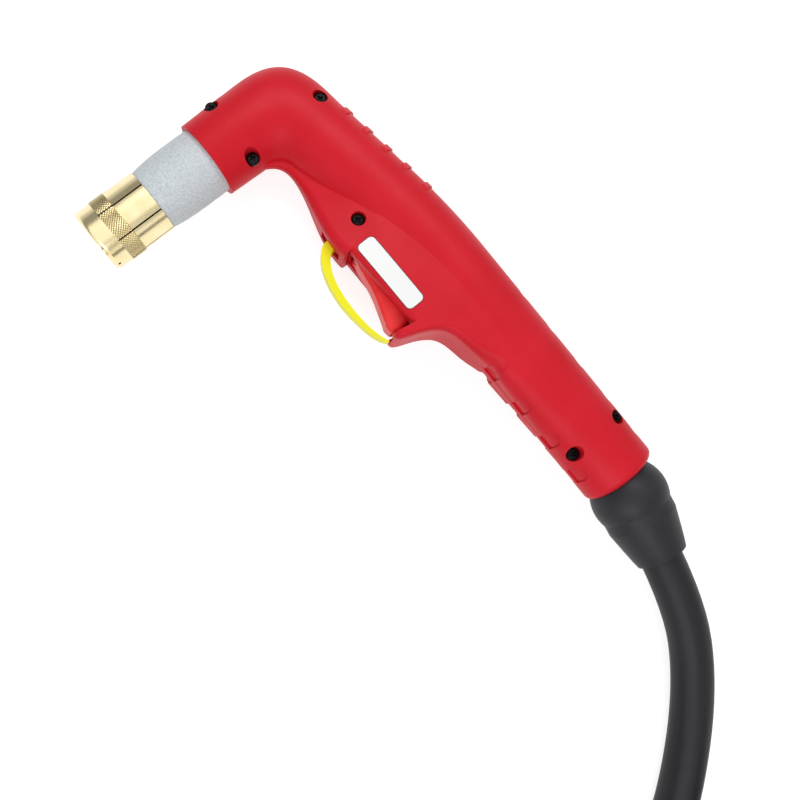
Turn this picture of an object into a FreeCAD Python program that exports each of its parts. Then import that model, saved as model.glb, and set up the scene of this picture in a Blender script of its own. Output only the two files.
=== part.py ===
import FreeCAD, Part
import math
import os

os.makedirs("parts", exist_ok=True)
V = FreeCAD.Vector

# All sizes are in millimetres. The torch lies on its side: X runs along the handle
# towards the cable, -Y is the trigger side and Z is square to the plane in which the
# two handle shells meet. While it is built, the origin is the middle of the handle's
# rear rim; at the end every solid moves so that the origin is under the torch's middle.

# handle tube
tube_r = 18.0
wall = 2.4
rim_round = 3.4
straight_len = 120.0
bend_r = 304.0
bend_deg = 8.5
elbow_x = -226.8
head_rim_y = -54.7
head_rim_r = 17.4
floor_z = -tube_r
slip = 0.05
gap = 0.3
elbow_inner_r = 8.0
elbow_outer_r = 24.0
elbow_sections = 4
elbow_seam = 2.5

# grip swelling over the trigger: place along X, lower edge, half width, edge rounding
nose = [
    (-209.5, -38.3, 2.4, 2.0),
    (-207.0, -34.2, 2.6, 2.0),
    (-203.5, -31.2, 3.0, 2.2),
    (-199.0, -30.1, 3.7, 2.6),
    (-194.0, -30.3, 4.8, 3.0),
    (-188.0, -31.3, 6.5, 3.4),
    (-181.0, -33.1, 8.6, 3.8),
    (-174.0, -35.0, 10.8, 4.0),
    (-167.0, -36.4, 12.5, 4.0),
    (-160.0, -36.9, 14.0, 4.0),
    (-154.8, -36.4, 14.8, 4.0),
]
bay = [
    (-158.0, -33.4, 14.43, 2.4),
    (-148.0, -33.2, 15.5, 2.4),
    (-131.0, -32.8, 16.6, 2.4),
    (-113.4, -32.3, 17.1, 2.4),
]
lip = [
    (-115.4, -41.7, 17.05, 5.0),
    (-111.6, -41.2, 17.1, 5.0),
    (-109.0, -35.4, 17.15, 4.6),
    (-106.2, -29.2, 17.2, 4.2),
    (-103.2, -25.0, 17.2, 4.0),
    (-99.0, -22.2, 17.2, 4.0),
    (-93.0, -20.6, 17.2, 4.0),
    (-84.0, -19.0, 17.2, 5.6),
    (-72.0, -17.6, 17.2, 8.0),
]
lip_tail = [
    (-72.0, -17.6, 17.2, 8.0),
    (-58.0, -17.7, 17.3, 10.6),
    (-44.0, -17.7, 17.4, 13.0),
    (-30.0, -17.7, 17.5, 15.2),
    (-16.0, -17.6, 17.5, 17.2),
]
least_corner = 1.0
hollow_front_x = -185.0
hollow_end = (-116.0, -32.3, 17.1, 4.0)

# grip details
rib_x = [-202.3, -190.3, -178.7, -167.1, -155.2]
rib_w = 3.0
rib_high = 0.8
rib_reach = 13.0
rib_bottom = 2.4
slot_pitch = 19.7
slot_w = 7.5
slot_low = 1.8
slot_deep = 0.8
upper_slot_x = -13.4
upper_slot_tops = [8.5, 8.5, 8.5, 8.5, 8.5]
lower_slot_x = -15.0
lower_slot_tops = [11.6, 13.0, 13.8, 14.4]

# shell screws: place, and the height of the seat under the head
screw_head_r = 2.8
screw_head_h = 2.2
screw_edge = 0.7
cross_long = 1.5
cross_half = 0.42
cross_deep = 1.3
screw_r = 1.5
screw_len = 14.0
screw_room = 0.4
screw_hole_r = 3.35
boss_r = 4.4
head_screw_off = 14.05
screws = [
    (elbow_x - head_screw_off, -40.0, 6.8),
    (elbow_x + head_screw_off, -40.0, 6.8),
    (-163.5, -21.5, 8.6),
    (-24.0, -12.85, 7.4),
    (-24.0, 12.85, 7.4),
]
# the screw inside the elbow's corner, from the corner
corner_screw_x = 11.6
corner_screw_y = 12.0851
corner_screw_seat = 9.6

# label plate on the grip's side
label_x = -136.3
label_y = -26.4
label_len = 36.0
label_w = 9.2
label_t = 0.3
label_round = 2.4

# head insulator, along the head from the handle's axis
collar_y = 46.0
sleeve_r = 15.3
sleeve_taper = [(66.0, 15.3), (72.0, 15.2), (77.0, 14.9), (81.0, 14.5)]
sleeve_end = 84.5
sleeve_end_r = 13.9
sleeve_play = 0.1
spigot_r = 12.0
spigot_end = 90.0
seal_groove = 86.8
seal_groove_w = 2.0
seal_groove_deep = 1.0
seal_section = 0.88
neck_r = 8.2
neck_start = 25.5
rib_place = 50.0
rib_ring_w = 2.0
rib_ring_r = 13.4
rib_ring_sunk = 1.0

# metal parts of the head
cathode_r = 6.2
cathode_front_r = 7.6
cathode_start = 24.6
cathode_step = 62.0
cathode_end = 75.0
cathode_socket = 12.0
stem_r = 3.2
stem_len = 11.0
electrode_r = 4.6
electrode_flange_r = 6.4
electrode_flange_w = 2.0
electrode_bevel = 2.0
electrode_end = 106.0
insert_r = 0.8
insert_len = 3.0
swirl_r = 7.6
swirl_len = 12.0
swirl_holes = 6
swirl_hole_r = 0.6
swirl_hole_at = 8.0
swirl_hole_off = 2.0
nozzle_r = 6.6
nozzle_bore_r = 5.6
nozzle_flange_r = 9.4
nozzle_flange_w = 3.0
nozzle_start = 90.3
nozzle_cone = 106.0
nozzle_shoulder = 104.0
nozzle_throat = 107.5
nozzle_throat_r = 3.0
nozzle_end = 113.6
nozzle_tip_r = 4.2
orifice_r = 0.65
orifice_len = 3.5
ring_t = 0.9
ring_len = 1.8
terminal_r = 1.8
terminal_z = -10.6
terminal_root = 2.0

# retaining cap
cap_start = 84.6
cap_len = 30.2
cap_r = 14.4
cap_knurl_at = 14.9
cap_knurl_w = 7.4
cap_knurl_high = 0.1
cap_bore_r = 13.05
cap_mouth_r = 7.6
cap_round = 2.2
cap_front_land = 2.2
cap_funnel = 2.5
cap_slits = 7
cap_slit_first = -14.0
cap_slit_w = 0.7
cap_slit_deep = 0.9
cap_notches = 3
cap_notch_first = 35.0
cap_holes = 2
cap_hole_first = 78.0
cap_hole_r = 0.7
cap_hole_back = 2.2
notch_w = 6.2
notch_deep = 1.3

# lead inside the handle
pipe_r = 4.0
pipe_wall = 1.0
pipe_bend = 14.0
pipe_rear_x = -158.0
nut_across = 13.0
nut_len = 12.0
hose_r = 5.0
hose_wall = 1.5
hose_straight = 20.0
hose_turn_x = -110.0
hose_bends = [60.0, 120.0]
hose_rear_x = -30.0
pilot_r = 1.1
pilot_route = [(-30.0, 0.0), (-120.0, 0.0), (-176.0, -6.5), (-214.8, -19.0), (elbow_x, -32.0)]
pilot_bends = [40.0, 40.0, 10.0, 7.0]

# trigger
trigger_half = 7.8
trigger_pin_x = -151.0
trigger_pin_y = -29.6
trigger_pin_r = 1.5
trigger_ear_r = 3.0
trigger_round = 2.4
trigger_deg = 8.0
trigger_line = [
    (-152.9, -31.9),
    (-148.1, -33.3),
    (-140.2, -34.6),
    (-133.2, -36.2),
    (-126.8, -38.4),
    (-121.8, -40.2),
    (-119.6, -41.2),
    (-116.6, -40.9),
    (-115.4, -39.6),
    (-114.9, -36.2),
    (-114.7, -29.5),
]
trigger_back = [(-117.5, -27.6), (-126.0, -28.2), (-136.0, -28.2), (-146.0, -27.2)]

# openings in the shells for the trigger, its rear end and the hinge pins
bay_front_x = -154.6
bay_rear_x = -113.8
bay_roof_y = -29.0
tail_room_x = -120.0
tail_room_y = -22.0
below_y = -60.0
pin_over = 4.0

# walls inside the shells that carry the pins: half length, reach below and above the pin
seat_half = 3.0
trigger_seat = (1.0, 5.0)
guard_seat = (2.0, 6.0)

# switch
switch_x = -137.5
switch_y = -13.6
switch_len = 20.0
switch_high = 9.6
switch_half = 3.2
plunger_off = 3.5
plunger_x = switch_x - plunger_off
plunger_r = 1.2
plunger_well = 6.0
plunger_in = 3.6
spring_wire = 0.6
spring_r = 2.35
spring_turns = 3
spring_pitch = 0.75
spring_leg = 6.5
spring_room = 2.4
lead_wire_r = 0.7
lead_x = (6.0, 2.0)
lead_z = 1.7
lead_rise = 2.2
lead_back = 14.0
lead_side = 9.2
lead_end_y = -4.0
lead_bends = [0.8, 12.0]

# safety lever
guard_pin_x = -164.0
guard_pin_y = -31.0
guard_pin_r = 1.2
guard_ear_r = 2.9
guard_half = 4.0
guard_deg = 40.0
guard_outer = [
    (-165.9, -36.6),
    (-165.2, -39.8),
    (-162.9, -42.6),
    (-159.4, -45.0),
    (-153.2, -47.6),
    (-146.3, -49.1),
    (-138.5, -49.8),
    (-130.9, -49.3),
    (-123.8, -48.3),
    (-117.6, -46.3),
    (-114.0, -43.9),
]
guard_inner = [
    (-114.3, -43.4),
    (-121.0, -45.7),
    (-127.4, -46.6),
    (-134.7, -46.9),
    (-144.2, -46.2),
    (-150.7, -44.8),
    (-155.8, -42.6),
    (-159.6, -39.6),
    (-161.3, -36.2),
]
guard_stem = [(-165.9, -36.6), (-161.3, -36.2), (-161.6, -31.0), (-166.6, -31.0)]
guard_slot_front = 6.6
guard_slot_rear = 6.4
guard_slot_roof = 5.0

# swivel and boot
swivel_x = 9.8
swivel_y = -2.35
boot_deg = -11.0
ball_r = 17.85
seat_wall = 3.2
stem_hole_r = 8.9
core_r = 4.6
flange_r = 10.5
flange_w = 2.4
sweep_room = 0.8
boot_profile = [(7.0, 17.5), (12.0, 16.4), (21.0, 14.4), (27.0, 13.0), (30.6, 12.0)]
ring_groove = 6.5
ring_groove_w = 0.8
ring_groove_deep = 1.3
boot_cavity = 10.0

# cable
cable_r = 9.75
cable_d = 2 * cable_r
cable_z = floor_z + cable_r
part_of_run = 0.45
run_points = [
    (60.9, -12.3, 0.0),
    (98.5, -33.2, cable_z + 1.2),
    (131.0, -70.8, cable_z),
]
coil_x = 277.9
coil_y = -120.4
coil_deg = -72.0
coil_r = 118.2
coil_side_gap = 0.8
coil_layer_gap = 0.6
coil_layer_turns = 4
coil_rest_gap = 0.6
run_last = 35.0
path_step = 5.0
near_turns = 4

# connector
sleeve_len = 38.0
sleeve_small_r = 12.0
body_len = 34.0
body_r = 16.0
nut_r = 18.4
nut_back = 12.0
nut_front = 26.0
nut_bore_r = 14.2
nut_edge = 1.2
nut_grooves = 18
nut_groove_r = 1.1
nut_groove_end = 3.0
nut_root = 2.0
sleeve_socket = 14.0
sleeve_wall = 3.0
sleeve_step = 4.0
sleeve_edge = 1.2
thread_deep = 1.2
body_step = 1.6
thread_len = 5.0
face_t = 9.0
pin_root = 6.0
pin_r = 2.0
pin_out = 11.0
pin_ring_r = 8.4
pin_short = 2.0
pins = 5
gas_pin_r = 3.2

X = V(1, 0, 0)
Y = V(0, 1, 0)
Z = V(0, 0, 1)
big = 400.0
reach = 40.0
past = 1.0


def turn(shape, axis, deg, centre=V(0, 0, 0)):
    shape = shape.copy()
    shape.rotate(centre, axis, deg)
    return shape


def moved(shape, vector):
    shape = shape.copy()
    shape.translate(vector)
    return shape


def fused(shapes):
    whole = shapes[0]
    for shape in shapes[1:]:
        whole = whole.fuse(shape)
    return whole.removeSplitter()


def main_solid(shape):
    """The largest solid of a shape, so that slivers of a cut are dropped."""
    return max(shape.Solids, key=lambda s: s.Volume)


def placed(shape, base, direction):
    """A shape built along +X from the origin, set at base and pointing in direction."""
    shape = shape.copy()
    shape.Placement = FreeCAD.Placement(base, FreeCAD.Rotation(X, direction))
    return shape


def turned(points, base, direction):
    """A solid of revolution from (along, radius) points round the line from base."""
    outline = Part.makePolygon([V(a, r, 0) for a, r in points + points[:1]])
    solid = Part.Face(outline).revolve(V(0, 0, 0), X, 360)
    return placed(solid, base, direction)


def rod(r, start, end):
    return Part.makeCylinder(r, (end - start).Length, start, end - start)


def plate(points, low, high):
    """An outline in the XY plane drawn from straight lines, raised from low to high."""
    outline = Part.makePolygon([V(x, y, low) for x, y in points + points[:1]])
    return Part.Face(outline).extrude(V(0, 0, high - low))


def curved_plate(groups, low, high):
    """The same from smooth curves: each group of points is one curve, joined in order."""
    edges = []
    for i, points in enumerate(groups):
        line = [V(x, y, low) for x, y in points]
        curve = Part.BSplineCurve()
        curve.interpolate(line)
        edges.append(curve.toShape())
        start = groups[(i + 1) % len(groups)][0]
        edges.append(Part.makeLine(line[-1], V(start[0], start[1], low)))
    return Part.Face(Part.Wire(edges)).extrude(V(0, 0, high - low))


def box(x0, x1, y0, y1, z0, z1):
    return Part.makeBox(x1 - x0, y1 - y0, z1 - z0, V(x0, y0, z0))


bend = math.radians(bend_deg)
bend_x = -straight_len - bend_r * math.sin(bend)
bend_y = -bend_r * (1 - math.cos(bend))
elbow_y = bend_y + (elbow_x - bend_x) * math.tan(bend)
elbow = V(elbow_x, elbow_y, 0)
screws.insert(2, (elbow_x + corner_screw_x, elbow_y + corner_screw_y, corner_screw_seat))
fall = V(-math.cos(bend), -math.sin(bend), 0)


def axis_y(x):
    """Height in the plane of the handle's centre line at a place along X."""
    if x > -straight_len:
        return 0.0
    if x > bend_x:
        return math.sqrt(bend_r**2 - (x + straight_len) ** 2) - bend_r
    return bend_y + (x - bend_x) * math.tan(bend)


def axis_way(x):
    """Direction of the handle's centre line towards the head at a place along X."""
    if x < bend_x:
        return fall
    angle = math.asin(max(0.0, -straight_len - x) / bend_r)
    return V(-math.cos(angle), -math.sin(angle), 0)


turning = math.pi / 2 - bend
elbow_reach = tube_r + elbow_inner_r
elbow_run = elbow_reach * math.tan(turning / 2)
elbow_pivot = elbow + V(elbow_reach, -elbow_run, 0)


def elbow_oval(r, angle):
    """One oval of the elbow, in the plane at this angle about the line on its inner side."""
    far = elbow_reach + r
    round_r = elbow_outer_r - tube_r + r
    centre = (far - round_r) / math.cos(turning / 2)
    from_end = min(angle, turning - angle)
    off = angle - turning / 2
    outer = far / math.cos(from_end)
    if math.tan(from_end) > centre * math.sin(turning / 2) / far:
        outer = centre * math.cos(off) + math.sqrt(round_r**2 - (centre * math.sin(off)) ** 2)
    inner = elbow_reach - r
    ray = V(-math.cos(angle), math.sin(angle), 0)
    oval = Part.Ellipse(V(0, 0, 0), max((outer - inner) / 2, r), r)
    oval = Part.ArcOfEllipse(oval, elbow_seam, elbow_seam + 2 * math.pi).toShape()
    turned_so = FreeCAD.Rotation(ray, Z, ray.cross(Z), "XYZ")
    oval.Placement = FreeCAD.Placement(elbow_pivot + ray * ((outer + inner) / 2), turned_so)
    return Part.Wire(oval)


def tube(r, rear, rim_r, rim_y):
    """The handle's round tube: rear straight, gentle bend, rounded elbow and head."""
    line = Part.makeLine(V(-straight_len / 2, 0, 0), V(-straight_len, 0, 0))
    middle = V(-straight_len - bend_r * math.sin(bend / 2), bend_r * (math.cos(bend / 2) - 1), 0)
    arc = Part.Arc(V(-straight_len, 0, 0), middle, V(bend_x, bend_y, 0)).toShape()
    straight = Part.makeLine(V(bend_x, bend_y, 0), elbow - fall * elbow_run)
    ring = Part.Wire(Part.makeCircle(r, V(-straight_len / 2, 0, 0), X))
    front = Part.Wire([line, arc, straight]).makePipeShell([ring], True, False)
    back = Part.makeCylinder(r, straight_len / 2 + rear, V(-straight_len / 2, 0, 0), X)
    if rear == 0:
        edge = [e for e in back.Edges if abs(e.CenterOfMass.x) < slip and e.Closed]
        back = back.makeFillet(rim_round, edge[:1])
    angles = [turning * i / elbow_sections for i in range(elbow_sections + 1)]
    corner = Part.makeLoft([elbow_oval(r, angle) for angle in angles], True, False)
    head_len = elbow_y - rim_y
    head = turned([(elbow_run, 0), (elbow_run, r), (head_len, rim_r), (head_len, 0)], elbow, -Y)
    return fused([front, back, corner, head])


def swelling(stations, inset):
    """A loft through upright sections with rounded lower corners."""
    wires = []
    for x, low, half, corner in stations:
        top = axis_y(x)
        low = low + inset
        half = half - inset
        c = max(corner - inset, least_corner)
        k = c * (1 - math.sqrt(0.5))
        left = Part.Arc(V(x, low + c, -half), V(x, low + k, k - half), V(x, low, c - half))
        right = Part.Arc(V(x, low, half - c), V(x, low + k, half - k), V(x, low + c, half))
        wires.append(
            Part.Wire(
                [
                    Part.makeLine(V(x, top, -half), V(x, low + c, -half)),
                    left.toShape(),
                    Part.makeLine(V(x, low, c - half), V(x, low, half - c)),
                    right.toShape(),
                    Part.makeLine(V(x, low + c, half), V(x, top, half)),
                    Part.makeLine(V(x, top, half), V(x, top, -half)),
                ]
            )
        )
    return Part.makeLoft(wires, True, False)


def lip_body():
    """The swelling behind the trigger, with a slanted front face below the bay."""
    x, y = bay[-1][:2]
    tip = lip[0]
    ahead = plate(
        [(x, tube_r), (x, y), (tip[0], tip[1]), (tip[0], below_y), (-big, below_y), (-big, tube_r)],
        -tube_r, tube_r,
    )
    return swelling(lip, 0).cut(ahead)


def ribs():
    bands = []
    low = -rib_w / 2
    high = rib_w / 2
    top = tube_r + rib_high
    for x in rib_x:
        centre = V(x, axis_y(x), 0)
        ring = turned([(low, rib_bottom), (low, top), (high, top), (high, rib_bottom)], centre, axis_way(x))
        band = box(x - tube_r, x + tube_r, centre.y + rib_bottom, big, -rib_reach, rib_reach)
        bands.append(ring.common(band))
    return bands


def slot_tool(x, top, side):
    """A slot's outline with one round end, cut in from one side of the handle."""
    r = slot_w / 2
    shoulder = top - r
    outline = [
        Part.makeLine(V(x - r, 0, slot_low), V(x + r, 0, slot_low)),
        Part.makeLine(V(x + r, 0, slot_low), V(x + r, 0, shoulder)),
        Part.Arc(V(x + r, 0, shoulder), V(x, 0, top), V(x - r, 0, shoulder)).toShape(),
        Part.makeLine(V(x - r, 0, shoulder), V(x - r, 0, slot_low)),
    ]
    return Part.Face(Part.Wire(outline)).extrude(V(0, side * tube_r * 2, 0))


def slots():
    """Blind hand-grip recesses on both sides of the parting plane."""
    tools = []
    for side, x0, tops in ((1, upper_slot_x, upper_slot_tops), (-1, lower_slot_x, lower_slot_tops)):
        for i, top in enumerate(tops):
            half = slot_tool(x0 - i * slot_pitch, top, side)
            tools += [half, half.mirror(V(0, 0, 0), Z)]
    core = Part.makeCylinder(tube_r - slot_deep, straight_len, V(-straight_len, 0, 0), X)
    core = core.fuse(swelling(lip, slot_deep)).fuse(swelling(lip_tail, slot_deep))
    return [tool.cut(core).Solids[0] for tool in tools]


swivel = V(swivel_x, swivel_y, 0)
boot_way = V(math.cos(math.radians(boot_deg)), math.sin(math.radians(boot_deg)), 0)
seat_in = ball_r + gap
seat_out = seat_in + seat_wall


def handle_outer():
    swellings = [swelling(nose, 0), swelling(bay, 0), lip_body(), swelling(lip_tail, 0)]
    return fused([tube(tube_r, 0, head_rim_r, head_rim_y)] + swellings + ribs())


def handle_hollow():
    """Everything that is empty inside the two shells."""
    head_r = sleeve_r + slip
    inner = tube(tube_r - wall, -wall, head_r, head_rim_y)
    inner = inner.cut(Part.makeSphere(seat_out, swivel))
    mouth = Part.makeSphere(seat_in, swivel)
    passage = rod(stem_hole_r, from_swivel(-reach), swivel)
    in_nose = swelling([s for s in nose if s[0] > hollow_front_x], wall)
    in_bay = swelling([s for s in bay if s[0] < hollow_end[0]] + [hollow_end], wall)
    head_bore = rod(head_r, V(elbow_x, -collar_y, 0), V(elbow_x, head_rim_y - gap, 0))
    return fused([inner, mouth, passage, in_nose, in_bay, head_bore])


def head_rib():
    """Ring inside the head that holds the insulator's groove."""
    ring_in = rib_ring_r + slip
    ring_out = head_rim_r - rib_ring_sunk
    profile = [(0, ring_in), (0, ring_out), (rib_ring_w, ring_out), (rib_ring_w, ring_in)]
    return turned(profile, V(elbow_x, -rib_place, 0), -Y)


def side_walls(x0, x1, y0, y1, z):
    """Two equal blocks from z and -z out to the middle of the shell's wall."""
    outside = tube_r - wall / 2
    return [box(x0, x1, y0, y1, z, outside), box(x0, x1, y0, y1, -outside, -z)]


def pin_seats(x, y, reaches, half):
    low, high = reaches
    return side_walls(x - seat_half, x + seat_half, y - low, y + high, half + gap)


def seats():
    """Inner walls that carry the switch and the two hinge pins."""
    half = switch_len / 2
    low = switch_y - switch_high / 2
    walls = side_walls(switch_x - half, switch_x + half, low + past, low + switch_high - past, switch_half)
    walls += pin_seats(trigger_pin_x, trigger_pin_y, trigger_seat, trigger_half)
    return walls + pin_seats(guard_pin_x, guard_pin_y, guard_seat, guard_half)


def screw_cuts(x, y, seat):
    head = rod(screw_hole_r, V(x, y, seat), V(x, y, reach))
    shank = rod(screw_r + slip, V(x, y, seat - screw_len - screw_room), V(x, y, seat + past))
    return [head, shank]


def openings():
    """Cuts for the trigger, the safety lever, the screws and the two hinge pins."""
    half = trigger_half + gap
    cuts = [
        box(bay_front_x, bay_rear_x, below_y, bay_roof_y, -half, half),
        box(tail_room_x, bay_rear_x, bay_roof_y - past, tail_room_y, -half, half),
    ]
    slot_half = guard_half + gap
    front = guard_pin_x - guard_slot_front
    rear = guard_pin_x + guard_slot_rear
    cuts.append(box(front, rear, below_y, guard_pin_y + guard_slot_roof, -slot_half, slot_half))
    for screw in screws:
        cuts += screw_cuts(*screw)
    flange_z = flange_r + gap
    sweep_r = math.hypot(seat_out + slip + flange_w, flange_r) + gap
    sweep = Part.makeCylinder(sweep_r, 2 * flange_z, swivel - Z * flange_z, Z)
    sweep = sweep.common(rod(tube_r - wall + sweep_room, V(-reach, 0, 0), V(0, 0, 0)))
    cuts.append(sweep.cut(Part.makeSphere(seat_out, swivel)))
    cuts.append(hinge_pin(trigger_pin_x, trigger_pin_y, trigger_pin_r + slip, trigger_half + pin_over))
    cuts.append(hinge_pin(guard_pin_x, guard_pin_y, guard_pin_r + slip, guard_half + pin_over))
    return cuts


def switch_room():
    half_x = switch_len / 2 + slip
    half_y = switch_high / 2 + slip
    return box(
        switch_x - half_x, switch_x + half_x, switch_y - half_y, switch_y + half_y,
        -switch_half, switch_half,
    )


def shells(outer):
    inside = [rod(boss_r, V(x, y, -tube_r), V(x, y, tube_r)) for x, y, seat in screws]
    inside += seats()
    inside.append(head_rib())
    body = outer.cut(handle_hollow())
    body = body.fuse([piece.common(outer) for piece in inside])
    for cut in openings() + [slots(), switch_room()]:
        body = body.cut(cut)
    upper = body.common(box(-big, big, -big, big, 0, big))
    lower = body.common(box(-big, big, -big, big, -big, 0))
    return upper.removeSplitter(), lower.removeSplitter()


def shell_screw(x, y, seat):
    """Pan head with a cross recess on a plain shank."""
    top = seat + screw_head_h
    head = Part.makeCylinder(screw_head_r, screw_head_h, V(x, y, seat), Z)
    edge = [e for e in head.Edges if e.Closed and e.CenterOfMass.z > top - slip]
    head = head.makeFillet(screw_edge, edge[:1])
    shank = rod(screw_r, V(x, y, seat - screw_len), V(x, y, seat))
    deep = top - cross_deep
    bar = box(x - cross_long, x + cross_long, y - cross_half, y + cross_half, deep, top + past)
    other = box(x - cross_half, x + cross_half, y - cross_long, y + cross_long, deep, top + past)
    return head.fuse(shank).cut(bar).cut(other).removeSplitter()


def label_plate(outer):
    half_len = label_len / 2
    half_w = label_w / 2
    solid = box(label_x - half_len, label_x + half_len, label_y - half_w, label_y + half_w, 0, reach)
    upright = [e for e in solid.Edges if abs(e.tangentAt(e.FirstParameter).z) > 1 - slip]
    solid = solid.makeFillet(label_round, upright)
    return main_solid(solid.common(moved(outer, Z * label_t)).cut(outer))


def on_head(s, side=0.0, z=0.0):
    return V(elbow_x + side, -s, z)


def head_turned(points):
    return turned(points, on_head(0), -Y)


def head_sleeve():
    groove_r = rib_ring_r - slip
    seal_r = spigot_r - seal_groove_deep
    profile = [
        (neck_start, cathode_r + slip),
        (neck_start, neck_r),
        (collar_y + gap, neck_r),
        (collar_y + gap, sleeve_r - sleeve_play),
        (rib_place - slip, sleeve_r - sleeve_play),
        (rib_place - slip, groove_r),
        (rib_place + rib_ring_w + slip, groove_r),
        (rib_place + rib_ring_w + slip, sleeve_r - sleeve_play),
        (-head_rim_y, sleeve_r),
    ] + sleeve_taper + [
        (sleeve_end, sleeve_end_r),
        (sleeve_end, spigot_r),
        (seal_groove, spigot_r),
        (seal_groove, seal_r),
        (seal_groove + seal_groove_w, seal_r),
        (seal_groove + seal_groove_w, spigot_r),
        (spigot_end, spigot_r),
        (spigot_end, cathode_front_r + slip),
        (cathode_step, cathode_front_r + slip),
        (cathode_step, cathode_r + slip),
    ]
    body = head_turned(profile)
    start = on_head(collar_y - past, 0, terminal_z)
    return body.cut(rod(terminal_r + slip, start, on_head(sleeve_end + past, 0, terminal_z)))


def o_ring():
    middle_r = spigot_r - seal_groove_deep + seal_section
    return Part.makeTorus(middle_r, seal_section, on_head(seal_groove + seal_groove_w / 2), Y)


def cathode_body():
    profile = [
        (cathode_start, 0),
        (cathode_start, cathode_r),
        (cathode_step, cathode_r),
        (cathode_step, cathode_front_r),
        (cathode_end, cathode_front_r),
        (cathode_end, stem_r + slip),
        (cathode_end - cathode_socket, stem_r + slip),
        (cathode_end - cathode_socket, 0),
    ]
    end = cathode_end - cathode_socket + past
    bore = rod(pipe_r - pipe_wall, on_head(cathode_start - past), on_head(end))
    return head_turned(profile).cut(bore)


def electrode():
    return head_turned(
        [
            (cathode_end - stem_len, 0),
            (cathode_end - stem_len, stem_r),
            (cathode_end, stem_r),
            (cathode_end, electrode_flange_r),
            (cathode_end + electrode_flange_w, electrode_flange_r),
            (cathode_end + electrode_flange_w, electrode_r),
            (electrode_end - electrode_bevel, electrode_r),
            (electrode_end, electrode_r - electrode_bevel),
            (electrode_end, insert_r),
            (electrode_end - insert_len, insert_r),
            (electrode_end - insert_len, 0),
        ]
    )


def electrode_insert():
    return rod(insert_r, on_head(electrode_end - insert_len), on_head(electrode_end))


def swirl_ring():
    start = cathode_end
    step = start + electrode_flange_w
    body = head_turned(
        [
            (start, electrode_flange_r + slip),
            (start, swirl_r - slip),
            (start + swirl_len, swirl_r - slip),
            (start + swirl_len, electrode_r + gap),
            (step, electrode_r + gap),
            (step, electrode_flange_r + slip),
        ]
    )
    inside = on_head(start + swirl_hole_at, 0, swirl_hole_off)
    hole = rod(swirl_hole_r, inside, inside + X * (swirl_r * 2))
    return body.cut([turn(hole, Y, i * 360 / swirl_holes, on_head(0)) for i in range(swirl_holes)])


def nozzle():
    flange_end = nozzle_start + nozzle_flange_w
    return head_turned(
        [
            (nozzle_start, nozzle_bore_r),
            (nozzle_start, nozzle_flange_r),
            (flange_end, nozzle_flange_r),
            (flange_end, nozzle_r),
            (nozzle_cone, nozzle_r),
            (nozzle_end, nozzle_tip_r),
            (nozzle_end, orifice_r),
            (nozzle_end - orifice_len, orifice_r),
            (nozzle_throat, nozzle_throat_r),
            (nozzle_shoulder, nozzle_bore_r),
        ]
    )


def retaining_cap():
    front = cap_start + cap_len
    knurl = cap_start + cap_knurl_at
    top = cap_r + cap_knurl_high
    flange_end = nozzle_start + nozzle_flange_w + slip
    funnel = front - cap_funnel
    body = head_turned(
        [
            (cap_start, cap_bore_r),
            (cap_start, cap_r),
            (knurl, cap_r),
            (knurl, top),
            (knurl + cap_knurl_w, top),
            (knurl + cap_knurl_w, cap_r),
            (front, cap_r),
            (front, cap_mouth_r + cap_front_land),
            (funnel, cap_mouth_r + cap_front_land / 4),
            (funnel - cap_funnel, cap_mouth_r),
            (flange_end, cap_mouth_r),
            (flange_end, cap_bore_r),
        ]
    )
    rim = [e for e in body.Edges if e.Closed and abs(e.CenterOfMass.y + front) < slip]
    body = body.makeFillet(cap_round, [max(rim, key=lambda e: e.Length)])
    cuts = []
    for i in range(cap_slits):
        slit = box(
            elbow_x - cap_slit_w / 2, elbow_x + cap_slit_w / 2,
            -knurl - cap_knurl_w, -cap_start + past, cap_r - cap_slit_deep, cap_r * 2,
        )
        cuts.append(turn(slit, Y, cap_slit_first + i * 360 / cap_slits, on_head(0)))
    for i in range(cap_notches):
        notch = box(
            elbow_x - notch_w / 2, elbow_x + notch_w / 2,
            -front - past, -front + notch_deep, cap_mouth_r, cap_r * 2,
        )
        cuts.append(turn(notch, Y, cap_notch_first + i * 360 / cap_notches, on_head(0)))
    back = front - cap_hole_back
    for i in range(cap_holes):
        hole = rod(cap_hole_r, on_head(back, 0, cap_r - cap_round), on_head(back, 0, cap_r * 2))
        cuts.append(turn(hole, Y, cap_hole_first + i * 360 / cap_holes, on_head(0)))
    return body.cut(cuts)


def cap_ring():
    inner = spigot_r + slip
    outer = inner + ring_t
    end = sleeve_end + ring_len
    return head_turned([(sleeve_end, inner), (sleeve_end, outer), (end, outer), (end, inner)])


def pilot_terminal():
    start = on_head(collar_y - terminal_root, 0, terminal_z)
    return rod(terminal_r, start, on_head(sleeve_end, 0, terminal_z))


def bent_rod(points, bends, r):
    """A round rod along straight runs with an arc of the given radius at each corner."""
    return bent_wire(points, bends).makePipeShell(
        [Part.Wire(Part.makeCircle(r, points[0], points[1] - points[0]))], True, False
    ).removeSplitter()


def bent_wire(points, bends):
    edges = []
    start = points[0]
    for before, corner, after, radius in zip(points, points[1:], points[2:], bends):
        into = (corner - before).normalize()
        out = (after - corner).normalize()
        angle = into.getAngle(out)
        reach = radius * math.tan(angle / 2)
        first = corner - into * reach
        last = corner + out * reach
        inward = (out - into).normalize()
        middle = corner + inward * (radius / math.cos(angle / 2) - radius)
        edges.append(Part.LineSegment(start, first).toShape())
        edges.append(Part.Arc(first, middle, last).toShape())
        start = last
    edges.append(Part.LineSegment(start, points[-1]).toShape())
    return Part.Wire(edges)


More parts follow.
